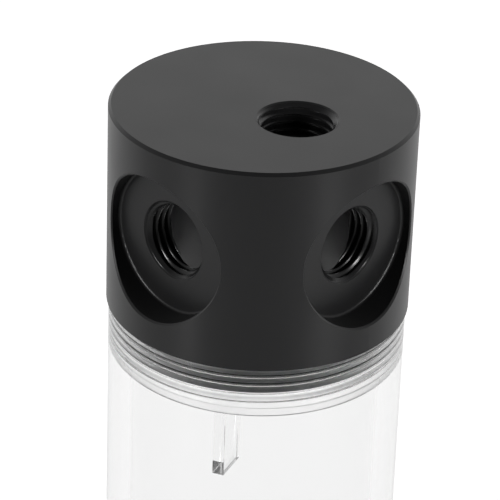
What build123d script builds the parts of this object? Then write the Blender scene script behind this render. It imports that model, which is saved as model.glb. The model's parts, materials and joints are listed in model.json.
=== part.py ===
"""Cylindrical water cooling reservoir: a clear tube screwed between two ported end caps.

All sizes are millimetres. The reservoir stands on the lower cap's flat face, +Z runs up the tube's axis,
and the four side ports of each cap look along +X, +Y, -X and -Y.
"""

import os
from math import cos, radians, sin

from build123d import *

# Clear tube
tube_radius = 25.0
tube_wall = 4.0
tube_length = 130.0
tube_edge_chamfer = 0.3

# Screw joint between a cap and the tube: a fine thread of 44 mm, cut into the tube's wall. The solids stop
# at the roots of both threads, and the ridges of the two fill the ring that is left between them. Below the
# thread the recess runs on at the radius it was bored to, and ends in a narrow ledge.
screw_wall = 3.0
screw_ridge_height = 0.92
screw_clearance = 0.05
screw_recess_depth = 10.0
screw_runout_length = 1.7
screw_drill_radius = 21.25
spigot_length = 6.1
spigot_chamfer = 0.5

# Cap
cap_overhang = 0.4
cap_height = 35.5
cap_rim_chamfer = 0.5
cap_inner_chamfer = 0.15
chamber_radius = 15.7
chamber_corner = 1.0
cap_roof = 9.5

# Ports: quarter inch parallel pipe thread, drilled to the roots of the thread
port_radius = 6.58
port_ridge_height = 0.86
port_mouth_radius = 6.8
port_count = 4
port_drop = 18.0
top_port_offset = 7.5

# Round pocket that gives each side port a flat seat
pocket_radius = 12.55
pocket_depth = 5.25
pocket_corner = 0.5
pocket_edge_chamfer = 0.3

# Face seal between cap and tube end, drawn squeezed
seal_groove_inset = 1.6
seal_groove_width = 1.8
seal_groove_depth = 1.2
seal_clearance = 0.05
seal_corner = 0.5

# Clear vane that stills the water under the cap. Its upper end is wider, and slides in a keyway in the chamber.
vane_thickness = 2.0
vane_width = 6.4
vane_outer_radius = 14.3
vane_drop = 62.1
vane_top_gap = 1.2
vane_angle = -68.25
vane_tab_lead = 0.3
keyway_depth = 1.0
vane_clearance = 0.05

# Stop plug for a side port that isn't in use
plug_head_radius = 9.0
plug_head_height = 3.2
plug_head_chamfer = 0.4
plug_shank_length = 4.6
plug_shank_chamfer = 0.5
plug_thread_clearance = 0.05
plug_socket_flats = 6.0
plug_socket_depth = 2.4
plug_groove_radius = 7.6
plug_groove_width = 1.6
plug_groove_depth = 1.3

# Sizes that follow from those above
tube_bore_radius = tube_radius - tube_wall
screw_root_radius = tube_radius - screw_wall
seal_groove_radius = tube_radius - seal_groove_inset
cap_radius = tube_radius + cap_overhang
pocket_floor = cap_radius - pocket_depth
spigot_radius = screw_root_radius - screw_ridge_height - screw_clearance
plug_shank_radius = port_radius - port_ridge_height - plug_thread_clearance
chamber_roof = cap_height - cap_roof
port_height = cap_height - port_drop
tube_bottom = cap_height
tube_top = tube_bottom + tube_length
overall_height = tube_top + cap_height
port_step = 360 / port_count

# A cap is drawn on the plane where it meets the tube, with its outer face up
top_seat = Plane(origin=(0, 0, tube_top), x_dir=(1, 0, 0), z_dir=(0, 0, 1))
bottom_seat = Plane(origin=(0, 0, tube_bottom), x_dir=(1, 0, 0), z_dir=(0, 0, -1))


def pocket_plane(angle, height):
    """Plane on a pocket's floor, looking out of the cap at this angle round the axis."""
    outward = (cos(radians(angle)), sin(radians(angle)), 0)
    centre = (pocket_floor * outward[0], pocket_floor * outward[1], height)
    return Plane(origin=centre, x_dir=(-outward[1], outward[0], 0), z_dir=outward)


def ring_sketch(radius, width):
    """Flat ring of this mean radius and width, for the sketch that is open."""
    Circle(radius + width / 2)
    Circle(radius - width / 2, mode=Mode.SUBTRACT)


def squeezed_ring(plane, radius, width, height):
    """Rubber ring pressed flat in its groove: a rounded oblong turned round the plane's axis."""
    with BuildPart() as ring:
        with BuildSketch(Plane.XZ):
            with Locations((radius, height / 2 + seal_clearance)):
                RectangleRounded(width - 2 * seal_clearance, height - 2 * seal_clearance, seal_corner)
        revolve(axis=Axis.Z)
    with BuildPart() as placed:
        with Locations(plane.location):
            add(ring.part)
    return placed


# Form that both caps share: turned body, screw spigot, water chamber and seal groove
with BuildPart() as cap_blank:
    with BuildSketch():
        Circle(cap_radius)
    extrude(amount=cap_height)
    chamfer(cap_blank.edges().group_by(Axis.Z)[-1], cap_rim_chamfer)
    chamfer(cap_blank.edges().group_by(Axis.Z)[0], cap_inner_chamfer)
    with BuildSketch():
        Circle(spigot_radius)
    extrude(amount=-spigot_length)
    chamfer(cap_blank.edges().group_by(Axis.Z)[0], spigot_chamfer)
    with BuildSketch(Plane.XY.offset(-spigot_length)):
        Circle(chamber_radius)
    extrude(amount=spigot_length + chamber_roof, mode=Mode.SUBTRACT)
    chamber_wall = cap_blank.faces().filter_by(GeomType.CYLINDER).sort_by(SortBy.RADIUS)[0]
    fillet(chamber_wall.edges().sort_by(Axis.Z)[-1], chamber_corner)
    with BuildSketch():
        ring_sketch(seal_groove_radius, seal_groove_width)
    extrude(amount=seal_groove_depth, mode=Mode.SUBTRACT)

    # Port in the outer face, beside the centre
    with Locations(Plane.XY.offset(cap_height).location * Location((top_port_offset, 0, 0))):
        CounterSinkHole(port_radius, port_mouth_radius, depth=cap_roof, counter_sink_angle=90)

    # Pocket and port on each of the four sides
    for step in range(port_count):
        floor_plane = pocket_plane(step * port_step, port_height)
        with BuildSketch(floor_plane):
            Circle(pocket_radius)
        extrude(amount=cap_radius, mode=Mode.SUBTRACT)
        with Locations(floor_plane.location):
            CounterSinkHole(port_radius, port_mouth_radius, depth=pocket_floor, counter_sink_angle=90)
    pocket_floors = cap_blank.faces().filter_by(GeomType.PLANE).filter_by(
        lambda face: abs(face.normal_at().Z) < 0.5
    )
    fillet([face.outer_wire().edges() for face in pocket_floors], pocket_corner)
    skin = cap_blank.faces().filter_by(GeomType.CYLINDER).sort_by(SortBy.RADIUS)[-1]
    pocket_edges = skin.edges().filter_by(lambda edge: edge.geom_type not in (GeomType.CIRCLE, GeomType.LINE))
    chamfer(pocket_edges, pocket_edge_chamfer)

# Top cap, with a keyway in its chamber wall for the vane
vane_plane = Plane(
    origin=(0, 0, tube_top - spigot_length), x_dir=(cos(radians(vane_angle)), sin(radians(vane_angle)), 0)
)
vane_top = overall_height - port_drop - port_radius - vane_top_gap
with BuildPart() as top_cap:
    with Locations(top_seat.location):
        add(cap_blank.part)
    with BuildSketch(vane_plane):
        with Locations((chamber_radius, 0)):
            Rectangle(2 * keyway_depth, vane_thickness + 2 * vane_clearance)
    extrude(amount=vane_top - tube_top + spigot_length, mode=Mode.SUBTRACT)
top_cap.part.label = "top_cap"

# Vane: a clear strip, cut from sheet, whose tab is pushed up the keyway until it stops under the ports
vane_bottom = overall_height - vane_drop
vane_tab_bottom = tube_top - spigot_length + vane_tab_lead
vane_tab_radius = chamber_radius + keyway_depth - vane_clearance
vane_inner_radius = vane_outer_radius - vane_width
vane_outline = [
    (vane_inner_radius, vane_bottom), (vane_outer_radius, vane_bottom), (vane_outer_radius, vane_tab_bottom),
    (vane_tab_radius, vane_tab_bottom), (vane_tab_radius, vane_top), (vane_inner_radius, vane_top),
]
with BuildPart() as flow_vane:
    with BuildSketch(Plane.XZ.rotated((0, 0, vane_angle))):
        with BuildLine():
            Polyline(*vane_outline, close=True)
        make_face()
    extrude(amount=vane_thickness / 2, both=True)
flow_vane.part.label = "flow_vane"

# Bottom cap: the same part turned over
with BuildPart() as bottom_cap:
    with Locations(bottom_seat.location):
        add(cap_blank.part)
bottom_cap.part.label = "bottom_cap"

# Clear tube, with a threaded recess in each end
with BuildPart() as clear_tube:
    with BuildSketch(Plane.XY.offset(tube_bottom)):
        Circle(tube_radius)
        Circle(tube_bore_radius, mode=Mode.SUBTRACT)
    extrude(amount=tube_length)
    for seat in (top_seat, bottom_seat):
        with BuildSketch(seat):
            Circle(screw_root_radius)
        extrude(amount=screw_runout_length - screw_recess_depth, mode=Mode.SUBTRACT)
        with BuildSketch(seat):
            Circle(screw_drill_radius)
        extrude(amount=-screw_recess_depth, mode=Mode.SUBTRACT)
    chamfer(clear_tube.edges().group_by(Axis.Z)[-1], tube_edge_chamfer)
    chamfer(clear_tube.edges().group_by(Axis.Z)[0], tube_edge_chamfer)
clear_tube.part.label = "clear_tube"

# Rubber ring in each cap's groove, pressed by the end of the tube
top_cap_o_ring = squeezed_ring(top_seat, seal_groove_radius, seal_groove_width, seal_groove_depth)
top_cap_o_ring.part.label = "top_cap_o_ring"
bottom_cap_o_ring = squeezed_ring(bottom_seat, seal_groove_radius, seal_groove_width, seal_groove_depth)
bottom_cap_o_ring.part.label = "bottom_cap_o_ring"

# Stop plug, drawn with the seat of its head on the base plane and its shank below
with BuildPart() as plug_blank:
    with BuildSketch():
        Circle(plug_head_radius)
    extrude(amount=plug_head_height)
    chamfer(plug_blank.edges().group_by(Axis.Z)[-1], plug_head_chamfer)
    with BuildSketch():
        Circle(plug_shank_radius)
    extrude(amount=-plug_shank_length)
    chamfer(plug_blank.edges().group_by(Axis.Z)[0], plug_shank_chamfer)
    with BuildSketch(Plane.XY.offset(plug_head_height)):
        RegularPolygon(plug_socket_flats / 2, 6, major_radius=False)
    extrude(amount=-plug_socket_depth, mode=Mode.SUBTRACT)
    with BuildSketch():
        ring_sketch(plug_groove_radius, plug_groove_width)
    extrude(amount=plug_groove_depth, mode=Mode.SUBTRACT)

# The lower cap's side ports are closed, each with a plug and its ring
plug_sides = {"right": 0, "back": 90, "left": 180, "front": 270}
plug_parts = []
for side, angle in plug_sides.items():
    plug_seat = pocket_plane(angle, port_drop)
    with BuildPart() as stop_plug:
        with Locations(plug_seat.location):
            add(plug_blank.part)
    stop_plug.part.label = f"{side}_stop_plug"
    plug_o_ring = squeezed_ring(plug_seat, plug_groove_radius, plug_groove_width, plug_groove_depth)
    plug_o_ring.part.label = f"{side}_plug_o_ring"
    plug_parts += [stop_plug.part, plug_o_ring.part]

os.makedirs("parts", exist_ok=True)
tube_parts = [clear_tube.part, top_cap_o_ring.part, bottom_cap_o_ring.part]
for piece in [top_cap.part, flow_vane.part, bottom_cap.part] + tube_parts + plug_parts:
    export_step(piece, f"parts/{piece.label}.step")
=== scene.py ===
# %% [markdown]
# A water cooling reservoir, dressed for a close picture of its upper end
#
# The reservoir is a clear acrylic tube screwed between two black end caps. The solids of the frame give the
# caps, plugs and rubber rings their true form, but they stop at the roots of every thread, and their tube is
# plain. This lesson cuts the threads, remakes the tube as one clear body, and gives each surface its finish.

# %% Load the frame
import json
from math import cos, pi, radians, sin

import bmesh
import bpy
import numpy as np
from mathutils import Matrix, Vector

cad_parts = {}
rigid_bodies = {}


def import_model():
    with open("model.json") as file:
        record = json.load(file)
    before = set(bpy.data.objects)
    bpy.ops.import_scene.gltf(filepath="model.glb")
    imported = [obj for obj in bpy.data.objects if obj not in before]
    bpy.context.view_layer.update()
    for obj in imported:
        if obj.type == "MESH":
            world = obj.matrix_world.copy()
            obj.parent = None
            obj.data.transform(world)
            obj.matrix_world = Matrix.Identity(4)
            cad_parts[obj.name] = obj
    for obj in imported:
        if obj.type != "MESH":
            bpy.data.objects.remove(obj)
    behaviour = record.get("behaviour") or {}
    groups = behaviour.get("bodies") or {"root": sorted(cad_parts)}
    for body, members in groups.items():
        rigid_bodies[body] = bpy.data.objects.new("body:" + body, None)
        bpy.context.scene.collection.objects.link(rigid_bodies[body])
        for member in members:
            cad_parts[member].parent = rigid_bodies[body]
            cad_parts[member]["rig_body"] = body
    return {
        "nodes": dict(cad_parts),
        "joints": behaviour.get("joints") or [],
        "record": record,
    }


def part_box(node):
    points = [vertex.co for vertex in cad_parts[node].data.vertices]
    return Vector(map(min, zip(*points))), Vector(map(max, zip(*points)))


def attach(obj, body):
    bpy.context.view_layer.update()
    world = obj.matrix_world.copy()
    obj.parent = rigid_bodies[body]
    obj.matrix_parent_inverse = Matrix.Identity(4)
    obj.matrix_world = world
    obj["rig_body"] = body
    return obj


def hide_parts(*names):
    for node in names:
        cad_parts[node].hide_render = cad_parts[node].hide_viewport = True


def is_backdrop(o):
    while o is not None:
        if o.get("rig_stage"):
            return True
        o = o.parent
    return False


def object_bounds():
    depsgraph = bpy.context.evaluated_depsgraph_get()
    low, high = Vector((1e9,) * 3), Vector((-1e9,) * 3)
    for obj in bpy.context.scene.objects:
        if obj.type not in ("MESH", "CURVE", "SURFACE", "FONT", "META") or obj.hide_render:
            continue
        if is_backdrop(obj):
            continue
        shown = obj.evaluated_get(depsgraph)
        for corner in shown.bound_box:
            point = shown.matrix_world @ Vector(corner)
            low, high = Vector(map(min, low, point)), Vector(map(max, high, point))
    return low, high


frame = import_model()
cad_low, cad_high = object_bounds()
nodes = frame["nodes"]
mounts = {mount["name"]: mount for mount in frame["record"]["mounts"]}
joints = {joint["name"]: joint for joint in frame["joints"]}
print("box of the solids:", [round(v, 4) for v in (*cad_low, *cad_high)])

# %% [markdown]
# The camera comes first
#
# The picture is a telephoto close-up of the upper cap, from 25 degrees above and square between two side
# ports. The reservoir leans a little in it, because the camera is rolled. The camera starts on a line from
# the centre of the top face, looking at that centre, and is then turned by the three small angles.

# %% Camera
MM = 0.001
camera_azimuth = radians(43.52)
camera_elevation = radians(25.348)
camera_distance = 466.0 * MM
aim_right = radians(-0.178)
aim_up = radians(-2.929)
roll = radians(2.141)
sensor_width = 36.0
lens_length = 206.33
nearest_seen = 0.01
farthest_seen = 20.0


def swung(a, b, angle):
    """Turns two unit vectors in the plane that they span, a towards b."""
    return a * cos(angle) + b * sin(angle), b * cos(angle) - a * sin(angle)


top_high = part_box("top_cap")[1]
top_centre = Vector((0, 0, top_high.z))
away = Vector((-sin(camera_azimuth), cos(camera_azimuth), 0))
right = Vector((cos(camera_azimuth), sin(camera_azimuth), 0))
forward, up = swung(away, Vector((0, 0, 1)), -camera_elevation)
camera_place = top_centre - forward * camera_distance
forward, right = swung(forward, right, aim_right)
forward, up = swung(forward, up, aim_up)
right, up = swung(right, up, roll)

camera_data = bpy.data.cameras.new("camera")
camera_data.sensor_width = sensor_width
camera_data.lens = lens_length
camera_data.clip_start = nearest_seen
camera_data.clip_end = farthest_seen
camera = bpy.data.objects.new("camera", camera_data)
camera.matrix_world = Matrix.Translation(camera_place) @ Matrix((right, up, -forward)).transposed().to_4x4()
bpy.context.scene.collection.objects.link(camera)
bpy.context.scene.camera = camera
print("camera at", [round(v, 3) for v in camera_place])

# %% [markdown]
# A closed surface turned round an axis
#
# A threaded tube, a thread ridge and a plug's thread are all turned forms whose section changes a little
# with the angle. A screw modifier could sweep one section, but its threads end in open flaps. Here the
# section is a closed loop of points, each with a radius and a height that may depend on the angle. Where
# rows of points lie on each other they are merged, so the mesh closes by itself.

# %% Helper: a mesh made into a piece
weld_distance = 0.0005 * MM
smooth_angle = radians(40)


def finished_piece(name, mesh):
    """Welds what lies together, turns the faces outward, shades them smooth and links the object."""
    work = bmesh.new()
    work.from_mesh(mesh)
    bmesh.ops.remove_doubles(work, verts=work.verts, dist=weld_distance)
    bmesh.ops.dissolve_degenerate(work, edges=work.edges, dist=weld_distance)
    bmesh.ops.recalc_face_normals(work, faces=work.faces)
    open_edges = sum(not edge.is_manifold for edge in work.edges)
    work.to_mesh(mesh)
    work.free()
    mesh.shade_smooth()
    mesh.set_sharp_from_angle(angle=smooth_angle)
    piece = bpy.data.objects.new(name, mesh)
    bpy.context.scene.collection.objects.link(piece)
    print(f"{name}: {len(mesh.polygons)} faces, {open_edges} open edges")
    return piece


# %% Helper: turned surface
def turned_surface(name, angles, radius, height, place=Matrix.Identity(4)):
    """Closed mesh of a section turned round Z and set down by place.

    radius[i, j] and height[i, j] give the section's point j at angles[i]: x = radius cos angle,
    y = radius sin angle, z = height. The section's last point joins its first.
    """
    columns, rows = radius.shape
    points = np.stack([radius * np.cos(angles)[:, None], radius * np.sin(angles)[:, None], height], -1)
    points = points.reshape(-1, 3)
    turn = np.array(place.to_3x3())
    points = points @ turn.T + np.array(place.translation)
    column, row = np.meshgrid(np.arange(columns - 1), np.arange(rows), indexing="ij")
    after = (row + 1) % rows
    here, ahead = column * rows, (column + 1) * rows
    quads = np.stack([here + row, ahead + row, ahead + after, here + after], -1).reshape(-1, 4)
    mesh = bpy.data.meshes.new(name)
    mesh.from_pydata(points.tolist(), [], quads.tolist())
    return finished_piece(name, mesh)


# %% [markdown]
# The form of a thread
#
# A thread is a ridge that climbs one pitch a turn. Where the grid's lines run level, the ridge crosses them
# and its crest comes out in steps, so the lines climb with it: a row keeps its place on the ridge's flank
# all the way round, and only at the two ends is it cut off level. Both halves of a screw joint take the same
# formula, one a little smaller than the other, so that they mesh at rest and stay in mesh as they turn.

# %% Helper: the ridge of a thread
metric_form = {"root_flat": 0.08, "crest_flat": 0.15, "rounding": 0.0}
pipe_form = {"root_flat": 0.08, "crest_flat": 0.08, "rounding": 0.7}
straight_flank_steps = 3
rounded_flank_steps = 7


def ridge_share(phase, form):
    """How far up the ridge a point stands, from 0 on the root to 1 on the crest.

    phase is the part of a pitch, 0 in the middle of the root and 0.5 on the crest. The flank is a straight
    ramp between the two flats, eased where it meets them by mixing in the smooth curve 3 t^2 - 2 t^3.
    """
    from_crest = np.abs(2 * np.mod(phase, 1.0) - 1)
    root, crest = form["root_flat"], form["crest_flat"]
    climb = np.clip((1 - root - from_crest) / (1 - root - crest), 0, 1)
    return (1 - form["rounding"]) * climb + form["rounding"] * climb**2 * (3 - 2 * climb)


def thread_stations(form):
    """Phases of the rows in one pitch: the four corners of the ridge, and points between them."""
    low, high = form["root_flat"] / 2, 0.5 - form["crest_flat"] / 2
    steps = rounded_flank_steps if form["rounding"] else straight_flank_steps
    flank = np.linspace(low, high, steps + 1)
    return np.concatenate([flank, [0.5], 1 - flank[::-1]])


for form_name, form in (("tube", metric_form), ("port", pipe_form)):
    print(f"rows in one pitch of a {form_name} thread:", len(thread_stations(form)))


# %% Helper: rows of a section
def thread_rows(angles, low, high, pitch, root, ridge, runouts, start, form):
    """Radius and height, as [angle, row], of a wall with a right-handed thread from height low to high.

    A row keeps its phase and climbs one pitch a turn, clipped to the two ends. The wall's radius is the root
    plus ridge times the share of the ridge there (ridge is negative for an inside thread), and the share
    fades out over the two runouts, below and above. low and high may be one number or one for each angle.
    """
    low = np.broadcast_to(low, angles.shape)[:, None]
    high = np.broadcast_to(high, angles.shape)[:, None]
    first, last = np.floor(low.min() / pitch) - 3, np.ceil(high.max() / pitch) + 2
    phases = (np.arange(first, last)[:, None] + thread_stations(form)[None, :]).ravel()
    climb = (angles[:, None] - start) / (2 * pi)
    height = np.clip((phases[None, :] + climb) * pitch, low, high)
    fade = np.clip((height - low) / runouts[0], 0, 1) * np.clip((high - height) / runouts[1], 0, 1)
    return root + ridge * ridge_share(height / pitch - climb, form) * fade, height


def level_rows(angles, points):
    """Radius and height arrays of plain rings, from a list of (radius, height)."""
    points = np.array(points)
    return (np.tile(points[:, 0], (len(angles), 1)), np.tile(points[:, 1], (len(angles), 1)))


def downward(rows):
    """The same rows in the opposite order."""
    return rows[0][:, ::-1], rows[1][:, ::-1]


def joined_rows(*parts):
    """Puts several (radius, height) pairs after each other into one closed section."""
    return np.concatenate([part[0] for part in parts], 1), np.concatenate([part[1] for part in parts], 1)


# %% [markdown]
# The clear tube
#
# The tube is extruded acrylic, polished outside, with an inside thread cut in each end. Each thread is
# longer than the cap's spigot, so under the cap a few empty turns catch the light, and below them a thin
# ledge shows where the cut stops. Clear plastic must be one body with no faces inside it, or it bends the
# light twice, so the whole tube is a single closed section, threads and all, and it replaces the plain one.

# %% Sizes of the tube
tube_low, tube_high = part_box("clear_tube")
tube_radius = tube_high.x
tube_bore = 21.0 * MM
screw_pitch = 1.5 * MM
screw_root = 22.0 * MM
screw_ridge = 0.81 * MM
screw_lead_in = 0.3 * screw_pitch
screw_tail = 1.6 * screw_pitch
screw_start = radians(36)
recess_depth = 10.0 * MM
relief_radius = 21.25 * MM
relief_length = 1.7 * MM
relief_rise = 0.3 * MM
edge_break = 0.3 * MM
end_gap = 0.02 * MM
tube_columns = 193
tube_angles = np.linspace(0, 2 * pi, tube_columns)

lower_end = tube_low.z + end_gap
upper_end = tube_high.z - end_gap
lower_ledge = tube_low.z + recess_depth
upper_ledge = tube_high.z - recess_depth
print("tube from", round(lower_end, 5), "to", round(upper_end, 5), "with a recess of", recess_depth)

# %% Clear tube
upper_thread = thread_rows(
    tube_angles, upper_ledge + relief_length, upper_end - edge_break, screw_pitch, screw_root, -screw_ridge,
    (screw_tail, screw_lead_in), screw_start, metric_form,
)
lower_thread = thread_rows(
    tube_angles, lower_end + edge_break, lower_ledge - relief_length, screw_pitch, screw_root, -screw_ridge,
    (screw_lead_in, screw_tail), screw_start, metric_form,
)
outer_wall = [
    (screw_root + edge_break, lower_end),
    (tube_radius - edge_break, lower_end),
    (tube_radius, lower_end + edge_break),
    (tube_radius, upper_end - edge_break),
    (tube_radius - edge_break, upper_end),
    (screw_root + edge_break, upper_end),
]
bore = [
    (relief_radius, upper_ledge + relief_length - relief_rise),
    (relief_radius, upper_ledge),
    (tube_bore, upper_ledge),
    (tube_bore, lower_ledge),
    (relief_radius, lower_ledge),
    (relief_radius, lower_ledge - relief_length + relief_rise),
]
tube_section = joined_rows(
    level_rows(tube_angles, outer_wall),
    downward(upper_thread),
    level_rows(tube_angles, bore),
    downward(lower_thread),
)
tube = turned_surface("threaded_clear_tube", tube_angles, *tube_section)
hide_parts("clear_tube")
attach(tube, "tube")

# %% [markdown]
# Where the tube was machined
#
# A tool has been in the two recesses and round the two ends, and acrylic that has been cut stays frosted.
# The mesh is one body, so the finish can't be told by piece: each face gets a number, 1 where it was cut and
# 0 where it is polished, and the material reads it. A second material slot would do too, but it would give
# the tube two materials that differ in one number.

# %% Machined faces of the tube
cut_margin = 0.1 * MM
ledge_margin = 0.01 * MM
faces = tube.data.polygons
centres = np.empty(3 * len(faces))
faces.foreach_get("center", centres)
x, y, z = centres.reshape(-1, 3).T
in_recess = (z > upper_ledge - ledge_margin) | (z < lower_ledge + ledge_margin)
in_cut = in_recess & (np.hypot(x, y) < screw_root + cut_margin)
at_end = (z > upper_end - edge_break) | (z < lower_end + edge_break)
machined = in_cut | at_end
attribute = tube.data.attributes.new("machined", "FLOAT", "FACE")
attribute.data.foreach_set("value", machined.astype(np.float32))
print("machined faces:", int(machined.sum()), "of", len(faces))

# %% [markdown]
# The thread on each cap's spigot
#
# The cap's spigot ends at the root of its thread, so the ridge is a sleeve that sits on it. Outside it is
# threaded by the tube's formula, with a small clearance. Inside it is sunk a tenth of a millimetre into the
# spigot, so that no gap shows. It stops short of the spigot's tip and of the cap's face, where the real one
# has its lead and its undercut.

# %% Spigot threads
screw_gap = 0.05 * MM
spigot_length = 6.1 * MM
spigot_ridge = 0.92 * MM
spigot_relief = 0.9 * MM
spigot_lead = 0.8 * MM
sink = 0.1 * MM
outside_runout = 0.4


def outside_thread(
    name, angles, low, high, pitch, crest, ridge, inner, start, form, place=Matrix.Identity(4)
):
    """Sleeve with a thread outside, from crest less ridge in its grooves to crest, and a plain wall inside.

    It starts half a turn from the inside thread of the same start, so that ridge meets groove.
    """
    runouts = (outside_runout * pitch, outside_runout * pitch)
    wall = thread_rows(angles, low, high, pitch, crest - ridge, ridge, runouts, start + pi, form)
    back = level_rows(angles, [(inner, high), (inner, low)])
    return turned_surface(name, angles, *joined_rows(back, wall), place)


spigot_inner = screw_root - screw_gap - spigot_ridge - sink
spigot_threads = {
    "top_cap": (tube_high.z - spigot_length + spigot_lead, tube_high.z - spigot_relief),
    "bottom_cap": (tube_low.z + spigot_relief, tube_low.z + spigot_length - spigot_lead),
}
for cap, (low, high) in spigot_threads.items():
    sleeve = outside_thread(
        f"{cap}_screw_thread", tube_angles, low, high, screw_pitch, screw_root - screw_gap, spigot_ridge,
        spigot_inner, screw_start, metric_form,
    )
    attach(sleeve, nodes[cap]["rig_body"])

# %% [markdown]
# The threads of the ports
#
# Every port has the same quarter inch pipe thread, right-handed, with rounded crests. A port ends where it
# breaks into the water chamber. The chamber is a cylinder across the port's own axis, so a side port's wall
# runs further in at its two sides than above and below, and the sleeve follows that edge with an end height
# that depends on the angle. The plugs of the lower cap carry the same thread outside.

# %% Sizes of the ports
port_pitch = 1.337 * MM
port_root = 6.58 * MM
port_ridge = 0.84 * MM
mouth_depth = 0.24 * MM
mouth_radius = 6.8 * MM
side_port_start = radians(-130)
end_port_start = radians(97)
pocket_floor = 20.15 * MM
chamber_radius = 15.7 * MM
roof_depth = 9.5 * MM
port_columns = 97
port_angles = np.linspace(0, 2 * pi, port_columns)
side_depth = pocket_floor - np.sqrt(chamber_radius**2 - (port_root * np.cos(port_angles)) ** 2)
print("side ports are", round(side_depth.min(), 5), "to", round(side_depth.max(), 5), "deep")

# %% Helper: thread in a hole
inside_runouts = (0.2, 0.01)
inner_end_gap = 0.1 * MM


def port_frame(axis, seat):
    """Matrix that sets a port's own frame down: Z out of the port, Y up the reservoir, origin on its seat."""
    out = Vector(axis).normalized()
    upward = Vector((0, 1, 0)) if abs(out.z) > 0.5 else Vector((0, 0, 1))
    across = upward.cross(out)
    return Matrix.Translation(seat) @ Matrix((across, upward, out)).transposed().to_4x4()


def inside_thread(name, angles, depth, pitch, root, ridge, start, place):
    """Sleeve for the wall of a tapped hole, from its mouth down to depth, which may change with the angle.

    Inside it is the thread, and outside a plain wall that is sunk into the solid round the hole. The
    countersink cuts the first ridges: at height z, below 0, the wall is never inside mouth_radius + z.
    """
    low = -np.broadcast_to(depth, angles.shape) + inner_end_gap
    high = np.full(angles.shape, -mouth_depth)
    runouts = (inside_runouts[0] * pitch, inside_runouts[1] * pitch)
    radius, height = thread_rows(angles, low, high, pitch, root, -ridge, runouts, start, pipe_form)
    wall = np.maximum(radius, mouth_radius + height), height
    back = np.full((len(angles), 2), root + sink), np.stack([high, low], 1)
    return turned_surface(name, angles, *joined_rows(wall, back), place)


# %% Ports in the end faces
end_ports = {"top_port": (top_high.z, "lid"), "outlet_port": (cad_low.z, "base")}
for name, (seat_height, body) in end_ports.items():
    seat = Vector(mounts[name]["pos_m"])
    seat.z = seat_height
    sleeve = inside_thread(
        f"{name}_thread", port_angles, roof_depth, port_pitch, port_root, port_ridge, end_port_start,
        port_frame(mounts[name]["axis"], seat),
    )
    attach(sleeve, body)

# %% Ports and plugs in the sides
plug_gap = 0.05 * MM
plug_ridge = 0.86 * MM
plug_shank = 4.6 * MM
plug_lead = 0.5 * MM
plug_crest = port_root - plug_gap
plug_inner = plug_crest - plug_ridge - sink

for side in ("right", "back", "left", "front"):
    upper = mounts[f"{side}_port"]
    lower = joints[f"{side}_plug_turn"]
    for level, height, body in (("upper", upper["pos_m"][2], "lid"), ("lower", lower["pos_m"][2], "base")):
        seat = Vector(upper["axis"]) * pocket_floor + Vector((0, 0, height))
        sleeve = inside_thread(
            f"{level}_{side}_port_thread", port_angles, side_depth, port_pitch, port_root, port_ridge,
            side_port_start, port_frame(upper["axis"], seat),
        )
        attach(sleeve, body)
    plug_thread = outside_thread(
        f"{side}_plug_thread", port_angles, -plug_shank + plug_lead, -2 * mouth_depth, port_pitch, plug_crest,
        plug_ridge, plug_inner, side_port_start, pipe_form, port_frame(lower["axis"], lower["pos_m"]),
    )
    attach(plug_thread, f"{side}_plug")

# %% [markdown]
# The vane
#
# A strip of clear acrylic hangs under the cap, on edge towards the tube's axis, so that water that swirls in
# the tube is stilled. It was sawn from sheet and its edges just broken, so the solid gets a small bevel: the
# bevels catch the light and draw the strip's outline, which is nearly all that shows of clear plastic.

# %% Clear vane
corner_weld = 0.001 * MM
vane_edge_break = 0.12 * MM
bevel_angle = radians(40)
vane = nodes["flow_vane"]
vane_weld = vane.modifiers.new("joined corners", "WELD")
vane_weld.merge_threshold = corner_weld
vane_bevel = vane.modifiers.new("broken edges", "BEVEL")
vane_bevel.width = vane_edge_break
vane_bevel.segments = 2
vane_bevel.limit_method = "ANGLE"
vane_bevel.angle_limit = bevel_angle
print("vane:", [round(v, 4) for v in vane.dimensions])

# %% [markdown]
# Helpers for materials
#
# Each finish below is a Principled shader with a few patterns on its sockets. All patterns are worked out
# from the piece's own coordinates, so nothing is painted or unwrapped and a pattern turns with its piece.
# A helper makes each kind of step, so that a material reads as a short list of what its surface has.

# %% Helper: material steps
def new_material(name):
    """A material with its Principled shader, as (material, node tree, shader)."""
    material = bpy.data.materials.new(name)
    material.use_nodes = True
    tree = material.node_tree
    return material, tree, tree.nodes["Principled BSDF"]


def add_node(tree, kind, **values):
    """A node of this kind with sockets or properties set by name."""
    node = tree.nodes.new(kind)
    for key, value in values.items():
        if key in node.inputs:
            node.inputs[key].default_value = value
        else:
            setattr(node, key, value)
    return node


def own_noise(tree, scale, detail):
    """Noise from 0 to 1 on the piece's own coordinates, with about this many spots to a metre."""
    place = add_node(tree, "ShaderNodeTexCoord")
    noise = add_node(tree, "ShaderNodeTexNoise", Scale=scale, Detail=detail)
    tree.links.new(place.outputs["Object"], noise.inputs["Vector"])
    return noise.outputs["Fac"]


def mapped(tree, value, start, stop, low, high):
    """low + (high - low) (value - start) / (stop - start), held at low and high past the two ends."""
    band = add_node(tree, "ShaderNodeMapRange")
    band.inputs["From Min"].default_value = start
    band.inputs["From Max"].default_value = stop
    band.inputs["To Min"].default_value = low
    band.inputs["To Max"].default_value = high
    tree.links.new(value, band.inputs["Value"])
    return band.outputs["Result"]


def bump(tree, height, strength, distance):
    """Bump node: a height of 1 stands distance metres off the surface, and strength weakens the tilt."""
    node = add_node(tree, "ShaderNodeBump", Strength=strength, Distance=distance)
    tree.links.new(height, node.inputs["Height"])
    return node


def dress(node, material):
    """Puts a material on every slot of a solid of the frame."""
    for place in nodes[node].material_slots:
        place.material = material
    print(f"{node} is dressed in {material.name}")


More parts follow.
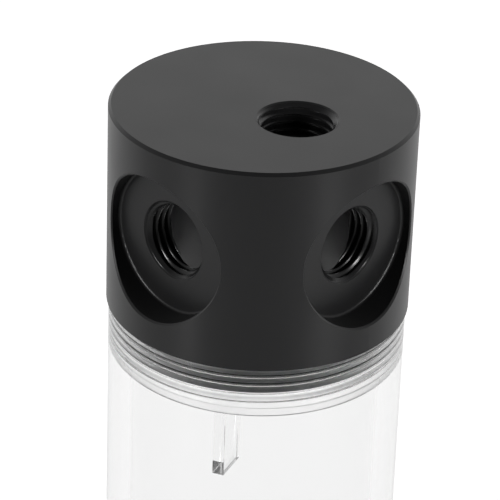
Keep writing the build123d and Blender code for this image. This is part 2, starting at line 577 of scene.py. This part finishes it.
# %% [markdown]
# Black acetal
#
# The caps are turned and milled from black acetal. It isn't painted: the colour goes right through, and the
# tool leaves rings too fine to see one by one, which spread the shine. So the finish is a near black base, a
# satin shine whose roughness drifts a little, and two bumps, one for the tool's rings and one for the grain.
# A tap presses the plastic as it cuts, so the threads come out smoother than the faces.

# %% Black acetal
turning_feed = 0.12 * MM
ring_height = 0.001 * MM
grain_height = 0.02 * MM
acetal_colour = (0.0165, 0.0165, 0.017, 1)
acetal_index = 1.48


def tool_rings(tree):
    """The rings that a turning tool leaves round the reservoir's axis, from -1 to 1.

    They are the sine of 2 pi (r + z) / feed, with r the distance from the axis. That sum grows by one feed
    from ring to ring on a flat face, on a round wall and on a chamfer alike.
    """
    place = add_node(tree, "ShaderNodeTexCoord").outputs["Object"]
    flat = add_node(tree, "ShaderNodeVectorMath", operation="MULTIPLY")
    flat.inputs[1].default_value = (1, 1, 0)
    distance = add_node(tree, "ShaderNodeVectorMath", operation="LENGTH")
    height = add_node(tree, "ShaderNodeSeparateXYZ")
    total = add_node(tree, "ShaderNodeMath", operation="ADD")
    turns = add_node(tree, "ShaderNodeMath", operation="MULTIPLY")
    turns.inputs[1].default_value = 2 * pi / turning_feed
    rings = add_node(tree, "ShaderNodeMath", operation="SINE")
    tree.links.new(place, flat.inputs[0])
    tree.links.new(flat.outputs["Vector"], distance.inputs[0])
    tree.links.new(place, height.inputs[0])
    tree.links.new(distance.outputs["Value"], total.inputs[0])
    tree.links.new(height.outputs["Z"], total.inputs[1])
    tree.links.new(total.outputs[0], turns.inputs[0])
    tree.links.new(turns.outputs[0], rings.inputs[0])
    return rings.outputs[0]


def black_acetal(name, smoothest, roughest):
    """Satin black plastic: roughness that drifts between two values, tool rings, and a grain over them."""
    material, tree, shader = new_material(name)
    drift = own_noise(tree, scale=90.0, detail=2.0)
    marks = bump(tree, tool_rings(tree), strength=0.5, distance=ring_height)
    grain = bump(tree, own_noise(tree, scale=2600.0, detail=3.0), strength=0.12, distance=grain_height)
    tree.links.new(marks.outputs["Normal"], grain.inputs["Normal"])
    tree.links.new(grain.outputs["Normal"], shader.inputs["Normal"])
    tree.links.new(mapped(tree, drift, 0, 1, smoothest, roughest), shader.inputs["Roughness"])
    shader.inputs["Base Color"].default_value = acetal_colour
    shader.inputs["IOR"].default_value = acetal_index
    return material


turned_acetal = black_acetal("black_acetal", smoothest=0.33, roughest=0.41)
for node in nodes:
    if node.endswith("cap") or node.endswith("plug"):
        dress(node, turned_acetal)

tapped_acetal = black_acetal("tapped_acetal", smoothest=0.21, roughest=0.27)
black_threads = [o for o in bpy.data.objects if o.type == "MESH" and "thread" in o.name and o is not tube]
for thread in black_threads:
    thread.data.materials.append(tapped_acetal)
print("black threads:", len(black_threads))

# %% [markdown]
# Clear acrylic
#
# Acrylic bends light by 1.49. The tube and the vane are polished, and frosted only where a tool has cut them:
# the tube's recesses and ends, and the vane's sawn ends. Glass of no colour at all looks like air where it
# is thin, so the base takes a trace of the light away at each surface, and the wall greys where the light
# crosses many of them. Roughness goes from the polish to the frost by a share that each piece works out:
# the tube from the number on its faces, and the vane from the way that its faces look.

# %% Clear acrylic
acrylic_colour = (0.958, 0.958, 0.958, 1)
acrylic_index = 1.49
best_polish = 0.01
worst_polish = 0.03
sideways = 0.5
upright = 0.9


def clear_acrylic(name, frost_share, frost_roughness):
    """Clear cast acrylic, from polished where frost_share(tree) gives 0 to frosted where it gives 1."""
    material, tree, shader = new_material(name)
    shader.inputs["Base Color"].default_value = acrylic_colour
    shader.inputs["Transmission Weight"].default_value = 1.0
    shader.inputs["IOR"].default_value = acrylic_index
    wave = own_noise(tree, scale=45.0, detail=1.0)
    polish = mapped(tree, wave, 0, 1, best_polish, worst_polish)
    roughness = add_node(tree, "ShaderNodeMapRange")
    roughness.inputs["To Max"].default_value = frost_roughness
    tree.links.new(polish, roughness.inputs["To Min"])
    tree.links.new(frost_share(tree), roughness.inputs["Value"])
    tree.links.new(roughness.outputs["Result"], shader.inputs["Roughness"])
    return material


def machined_share(tree):
    """The number machined of each face."""
    return add_node(tree, "ShaderNodeAttribute", attribute_name="machined").outputs["Fac"]


def sawn_share(tree):
    """1 where a face looks up or down, 0 where it looks sideways, by the size of its normal's Z."""
    facing = add_node(tree, "ShaderNodeSeparateXYZ")
    tree.links.new(add_node(tree, "ShaderNodeTexCoord").outputs["Normal"], facing.inputs[0])
    level = add_node(tree, "ShaderNodeMath", operation="ABSOLUTE")
    tree.links.new(facing.outputs["Z"], level.inputs[0])
    return mapped(tree, level.outputs[0], sideways, upright, 0, 1)


tube.data.materials.append(clear_acrylic("clear_acrylic", machined_share, frost_roughness=0.34))
dress("flow_vane", clear_acrylic("sawn_acrylic", sawn_share, frost_roughness=0.2))

# %% [markdown]
# Black rubber
#
# A ring of rubber is pressed between each cap and the tube, and one under each plug's head. Rubber from a
# mould is matt, and what shows that it isn't plastic is that its shine is uneven on a small scale. One noise
# makes both the shine and the skin, so that a dull spot is also a raised one.

# %% Black rubber
rubber_colour = (0.012, 0.012, 0.013, 1)
least_dull = 0.45
most_dull = 0.7
skin_height = 0.03 * MM


def ring_rubber():
    """Matt black rubber whose roughness and skin follow one fine noise."""
    material, tree, shader = new_material("ring_rubber")
    skin = own_noise(tree, scale=900.0, detail=3.0)
    uneven = bump(tree, skin, strength=0.2, distance=skin_height)
    tree.links.new(mapped(tree, skin, 0, 1, least_dull, most_dull), shader.inputs["Roughness"])
    tree.links.new(uneven.outputs["Normal"], shader.inputs["Normal"])
    shader.inputs["Base Color"].default_value = rubber_colour
    return material


rubber = ring_rubber()
for node in nodes:
    if node.endswith("o_ring"):
        dress(node, rubber)

# %% [markdown]
# How the picture is worked out
#
# Light that reaches the eye from inside the reservoir has crossed many clear walls, and each one uses up a
# bounce. With too few bounces those places turn black, so the limits are high. The colours are shown as they
# are written, with the plain view.

# %% Picture settings
scene = bpy.context.scene
scene.view_settings.view_transform = "Standard"
scene.cycles.transmission_bounces = 32
scene.cycles.glossy_bounces = 32
scene.cycles.max_bounces = 48
scene.cycles.use_denoising = True
print("bounces:", scene.cycles.max_bounces)

# %% [markdown]
# The backdrop
#
# The reservoir stands as on a white sweep: pure white where the camera looks past it, bright behind it and
# at its sides, and dark in front, where the camera stands. Black plastic shows that as pale edges, a grey
# top and a dark front. A picture of a studio could be wrapped round the scene, but a gradient is enough: it
# goes from dark in front to white behind, and from white at the horizon to dark overhead. To the eye, and
# through the clear walls, the backdrop is plain white instead.

# %% Helper: gradients and rays
def chosen_by_ray(tree, ray, plain, glow):
    """Mixes two shaders: glow for this kind of ray, plain for all others."""
    mix = add_node(tree, "ShaderNodeMixShader")
    tree.links.new(ray, mix.inputs[0])
    tree.links.new(plain.outputs[0], mix.inputs[1])
    tree.links.new(glow.outputs[0], mix.inputs[2])
    return mix


def ray_kinds(tree):
    """Sockets that say what kind of ray is being followed."""
    return add_node(tree, "ShaderNodeLightPath").outputs


def added(tree, first, second):
    """The light of two shaders together."""
    both = add_node(tree, "ShaderNodeAddShader")
    tree.links.new(first.outputs[0], both.inputs[0])
    tree.links.new(second.outputs[0], both.inputs[1])
    return both


def grey_ramp(tree, value, marks):
    """A colour ramp fed by value, through these (position, grey) marks."""
    band = add_node(tree, "ShaderNodeValToRGB")
    band.color_ramp.interpolation = "EASE"
    while len(band.color_ramp.elements) < len(marks):
        band.color_ramp.elements.new(0.5)
    for element, (position, grey) in zip(band.color_ramp.elements, marks):
        element.position = position
        element.color = (grey, grey, grey, 1)
    tree.links.new(value, band.inputs["Fac"])
    return band.outputs["Color"]


def along(tree, vector, direction, low, high):
    """The share of the way from low to high of the vector's part along a direction."""
    dot = add_node(tree, "ShaderNodeVectorMath", operation="DOT_PRODUCT")
    dot.inputs[1].default_value = direction
    tree.links.new(vector, dot.inputs[0])
    return mapped(tree, dot.outputs["Value"], low, high, 0, 1)


# %% Backdrop
room_light = 1.1
horizon_marks = [(0, 0.06), (0.35, 0.10), (0.6, 0.40), (0.85, 0.9), (1, 1)]
upward_marks = [(0, 1.0), (0.30, 0.95), (0.50, 0.80), (0.8, 0.10), (1, 0.06)]

world = bpy.data.worlds.new("studio")
scene.world = world
world.use_nodes = True
tree = world.node_tree
tree.nodes.clear()
direction = add_node(tree, "ShaderNodeTexCoord").outputs["Generated"]
round_horizon = grey_ramp(tree, along(tree, direction, away, -1, 1), horizon_marks)
upward = grey_ramp(tree, along(tree, direction, (0, 0, 1), 0, 1), upward_marks)
gradient = add_node(tree, "ShaderNodeVectorMath", operation="MULTIPLY")
tree.links.new(round_horizon, gradient.inputs[0])
tree.links.new(upward, gradient.inputs[1])
room = add_node(tree, "ShaderNodeBackground", Strength=room_light)
tree.links.new(gradient.outputs["Vector"], room.inputs["Color"])
white = add_node(tree, "ShaderNodeBackground", Color=(1, 1, 1, 1), Strength=1.0)
rays = ray_kinds(tree)
to_eye = chosen_by_ray(tree, rays["Is Camera Ray"], room, white)
through_walls = chosen_by_ray(tree, rays["Is Transmission Ray"], to_eye, white)
tree.links.new(through_walls.outputs[0], add_node(tree, "ShaderNodeOutputWorld").inputs["Surface"])
print("backdrop:", len(tree.nodes), "nodes")

# %% [markdown]
# The floor
#
# The reservoir stands on a pale floor. To the black plastic it is a gradient like the backdrop's, darker in
# front than behind. Through the clear walls it glows white. To the eye it is white paper that takes the
# reservoir's shadow, under a thin veil of light: paper alone would be as grey as the room is dim, and the
# veil, weak at the base and stronger further off, lifts it to white where no shadow falls.

# %% Floor
floor_half = 3.0
floor_corners = [
    (-floor_half, -floor_half, 0),
    (floor_half, -floor_half, 0),
    (floor_half, floor_half, 0),
    (-floor_half, floor_half, 0),
]
floor_mesh = bpy.data.meshes.new("floor")
floor_mesh.from_pydata(floor_corners, [], [(0, 1, 2, 3)])
floor = bpy.data.objects.new("floor", floor_mesh)
scene.collection.objects.link(floor)
floor_material, tree, matt = new_material("pale_floor")
floor_mesh.materials.append(floor_material)
floor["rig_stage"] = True
print("floor:", 2 * floor_half, "m across")

# %% Light and shadow on the floor
floor_reach = 0.6
tone_marks = [(0, 0.36), (0.3, 0.43), (0.5, 0.56), (0.7, 0.8), (1, 0.9)]
shine_marks = [(0, 0.04), (0.45, 0.075), (0.62, 0.42), (1, 0.66)]
floor_roughness = 0.7
paper_colour = (0.95, 0.95, 0.95, 1)
veil_start = 80 * MM
veil_stop = 280 * MM
weakest_veil = 0.52
strongest_veil = 0.8

spot = add_node(tree, "ShaderNodeTexCoord").outputs["Object"]
backward = along(tree, spot, away, -floor_reach, floor_reach)
tree.links.new(grey_ramp(tree, backward, tone_marks), matt.inputs["Base Color"])
matt.inputs["Roughness"].default_value = floor_roughness
shine = add_node(tree, "ShaderNodeEmission", Strength=1.0)
tree.links.new(grey_ramp(tree, backward, shine_marks), shine.inputs["Color"])
glow = add_node(tree, "ShaderNodeEmission", Color=(1, 1, 1, 1), Strength=1.0)

from_base = add_node(tree, "ShaderNodeVectorMath", operation="LENGTH")
tree.links.new(spot, from_base.inputs[0])
strength = mapped(tree, from_base.outputs["Value"], veil_start, veil_stop, weakest_veil, strongest_veil)
veil = add_node(tree, "ShaderNodeEmission", Color=(1, 1, 1, 1))
tree.links.new(strength, veil.inputs["Strength"])
paper = add_node(tree, "ShaderNodeBsdfDiffuse", Color=paper_colour)

rays = ray_kinds(tree)
in_shine = chosen_by_ray(tree, rays["Is Glossy Ray"], matt, added(tree, matt, shine))
through_walls = chosen_by_ray(tree, rays["Is Transmission Ray"], in_shine, glow)
to_eye = chosen_by_ray(tree, rays["Is Camera Ray"], through_walls, added(tree, paper, veil))
tree.links.new(to_eye.outputs[0], tree.nodes["Material Output"].inputs["Surface"])
print("floor's material:", len(tree.nodes), "nodes")

# %% [markdown]
# The lamps
#
# Two soft lamps stand in front, about 52 degrees to each side of the camera, above the cap and turned to it.
# They are what the port threads and the pockets' rims send back to the eye. Two small weak ones near the
# floor light the same places from below, and are so faint that they draw no second shadow.

# %% Lamps
lamp_aim = Vector((0, 0, top_high.z - 20 * MM))


def soft_lamp(name, turn, height, distance, size, power):
    """A flat lamp that looks at the upper cap, turned round the axis from the camera's side."""
    data = bpy.data.lights.new(name, "AREA")
    data.shape = "RECTANGLE"
    data.size, data.size_y = size
    data.energy = power
    lamp = bpy.data.objects.new(name, data)
    around = camera_azimuth - pi / 2 + radians(turn)
    lamp.location = (distance * cos(around), distance * sin(around), height)
    lamp.rotation_euler = (lamp.location - lamp_aim).to_track_quat("Z", "Y").to_euler()
    scene.collection.objects.link(lamp)
    print(f"{name}: {power} W at", [round(v, 3) for v in lamp.location])


soft_lamp("left_lamp", turn=-52, height=0.42, distance=0.9, size=(0.14, 0.22), power=3.4)
soft_lamp("right_lamp", turn=52, height=0.42, distance=0.9, size=(0.14, 0.22), power=3.6)
soft_lamp("left_strip", turn=-49, height=0.03, distance=0.30, size=(0.035, 0.05), power=0.02)
soft_lamp("right_strip", turn=50, height=0.03, distance=0.32, size=(0.10, 0.06), power=0.03)

# %% [markdown]
# Sizes
#
# The box of everything that was dressed is printed, as the box of the solids was at the start.

# %% Sizes
low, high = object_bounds()
print("box of the dressed reservoir:", [round(v, 4) for v in (*low, *high)])
